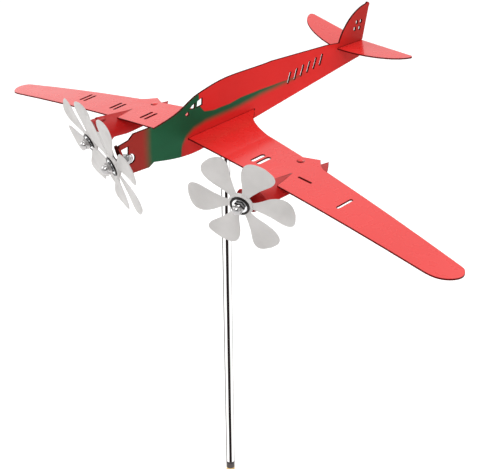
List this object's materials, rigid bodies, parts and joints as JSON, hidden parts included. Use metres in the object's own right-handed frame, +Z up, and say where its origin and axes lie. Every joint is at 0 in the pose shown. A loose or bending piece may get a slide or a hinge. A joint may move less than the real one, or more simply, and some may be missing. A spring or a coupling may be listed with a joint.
{
  "type": "aeroplane wind spinner",
  "caption": "Sheet-metal aeroplane whirligig with spinning propellers, turning on a ball-thrust spindle at the top of a threaded pole.",
  "frame": {"origin": "mouth of the threaded socket at the foot of the pole, on the pole's axis", "axes": "+Z up along the pole, -Y towards the aeroplane's nose, +X towards its port wing tip"},
  "size_m": [0.6584, 0.3653, 0.533],
  "materials": {
    "tube_steel": "polished stainless tube",
    "ferrule_steel": "turned steel",
    "brass": "turned brass, lightly tarnished",
    "bronze": "sintered bronze bush",
    "ball_steel": "polished bearing steel",
    "block_steel": "machined stainless",
    "fastener_steel": "polished stainless fasteners",
    "fuselage_paint": "glossy red and green spray paint on sheet metal",
    "wing_paint": "glossy red spray paint on sheet metal",
    "cowl_paint": "glossy red spray paint on sheet metal",
    "propeller_metal": "matt grey paint on sheet metal",
    "bearing_black": "blackened outer races",
    "bearing_steel": "ground bearing steel"
  },
  "bodies": {
    "pole": {"pole_tube": "tube_steel", "pole_ferrule": "ferrule_steel", "foot_coupling": "brass", "ball_seat": "brass", "thrust_ball": "ball_steel", "lower_bush": "bronze", "upper_bush": "bronze"},
    "aeroplane": {"fuselage": "fuselage_paint", "wing": "wing_paint", "tailplane": "wing_paint", "port_cowl": "cowl_paint", "starboard_cowl": "cowl_paint", "cowl_rivets": "fastener_steel", "mast_block": "block_steel", "mast_screws": "fastener_steel", "mast_nuts": "fastener_steel", "spindle": "fastener_steel", "thrust_washer": "fastener_steel", "nose_inner_race": "bearing_steel", "nose_bearing_balls": "ball_steel", "nose_axle": "fastener_steel", "nose_spacer": "fastener_steel", "nose_washers": "fastener_steel", "nose_front_nut": "fastener_steel", "nose_rear_nut": "fastener_steel", "port_inner_race": "bearing_steel", "port_bearing_balls": "ball_steel", "port_axle": "fastener_steel", "port_spacer": "fastener_steel", "port_washers": "fastener_steel", "port_front_nut": "fastener_steel", "port_rear_nut": "fastener_steel", "starboard_inner_race": "bearing_steel", "starboard_bearing_balls": "ball_steel", "starboard_axle": "fastener_steel", "starboard_spacer": "fastener_steel", "starboard_washers": "fastener_steel", "starboard_front_nut": "fastener_steel", "starboard_rear_nut": "fastener_steel"},
    "nose_spinner": {"nose_propeller": "propeller_metal", "nose_outer_race": "bearing_black", "nose_bearing_shields": "bearing_steel"},
    "port_spinner": {"port_propeller": "propeller_metal", "port_outer_race": "bearing_black", "port_bearing_shields": "bearing_steel"},
    "starboard_spinner": {"starboard_propeller": "propeller_metal", "starboard_outer_race": "bearing_black", "starboard_bearing_shields": "bearing_steel"}
  },
  "joints": [
    {"name": "aeroplane_turn", "type": "hinge", "parent": "pole", "child": "aeroplane", "pos_m": [0, 0, 0.401], "axis": [0, 0, 1], "continuous": true},
    {"name": "nose_propeller_spin", "type": "hinge", "parent": "aeroplane", "child": "nose_spinner", "pos_m": [-0.0043, -0.1356, 0.4368], "axis": [-0.2086, -0.9408, -0.2672], "continuous": true},
    {"name": "port_propeller_spin", "type": "hinge", "parent": "aeroplane", "child": "port_spinner", "pos_m": [0.1185, -0.086, 0.4222], "axis": [0.376, -0.8857, -0.2723], "continuous": true},
    {"name": "starboard_propeller_spin", "type": "hinge", "parent": "aeroplane", "child": "starboard_spinner", "pos_m": [-0.1192, -0.0832, 0.4148], "axis": [-0.1324, -0.9418, -0.309], "continuous": true}
  ]
}
